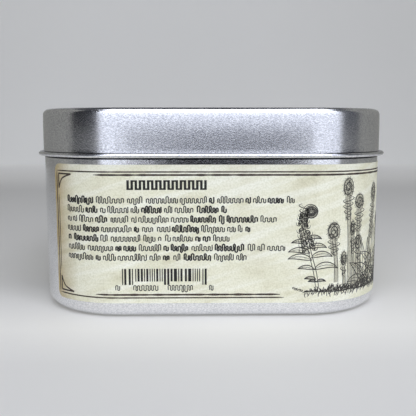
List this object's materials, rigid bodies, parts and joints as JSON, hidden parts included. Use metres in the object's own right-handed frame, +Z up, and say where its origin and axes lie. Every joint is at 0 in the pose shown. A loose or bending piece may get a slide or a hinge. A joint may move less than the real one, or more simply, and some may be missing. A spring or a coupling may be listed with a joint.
{
  "type": "square slip-lid tin",
  "caption": "Rounded-square seamless tinplate tin with a slip lid, an outward curled lid edge and a printed paper label glued round the wall.",
  "frame": {"origin": "middle of the base, level with the ring that the tin stands on", "axes": "+Z up through the lid; -Y is the face with the label's small print; +X is the right of that face"},
  "size_m": [0.1078, 0.1078, 0.06],
  "materials": {
    "tinplate": "satin tin coating on drawn steel sheet, faint rolling grain and fine sparkle",
    "label_paper": "matt aged cream label paper with dark brown print"
  },
  "bodies": {
    "root": {"tin_body": "tinplate", "lid": "tinplate", "label": "label_paper"}
  },
  "joints": []
}
